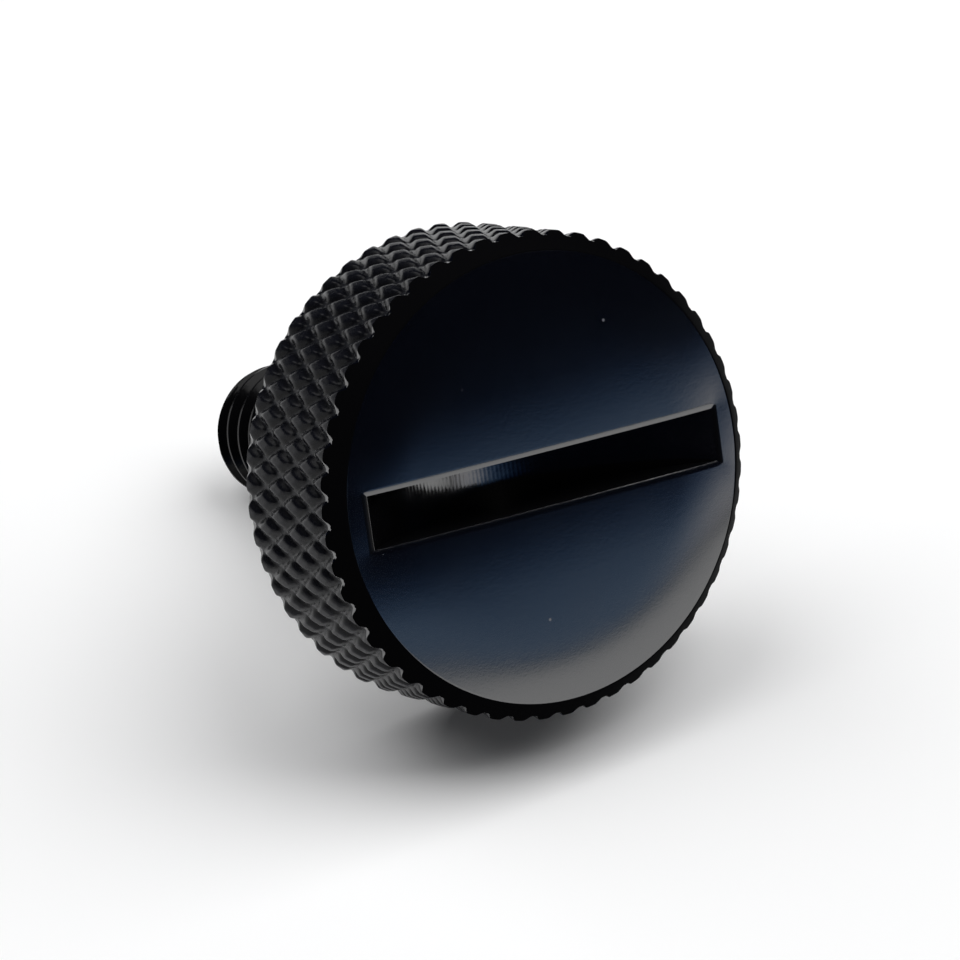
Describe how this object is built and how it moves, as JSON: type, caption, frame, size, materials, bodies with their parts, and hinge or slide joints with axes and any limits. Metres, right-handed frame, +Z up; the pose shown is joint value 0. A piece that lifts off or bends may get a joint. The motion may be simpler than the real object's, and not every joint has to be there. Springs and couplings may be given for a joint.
{
  "type": "thumb screw",
  "caption": "Black thumb screw with a round diamond-knurled head, a coin slot in its face and a short threaded shank, turned by hand or with a coin.",
  "frame": {"origin": "on the table under the middle of the screw's outline, as it lies on the back rim of its head and the tip of its shank", "axes": "+Z up from the table, +Y the way the shank points seen from above, +X level across the head; the slotted face looks towards -Y and up"},
  "size_m": [0.02, 0.0262, 0.0208],
  "materials": {
    "black_finish": "satin black on steel"
  },
  "bodies": {
    "root": {"thumb_screw": "black_finish"}
  },
  "joints": []
}
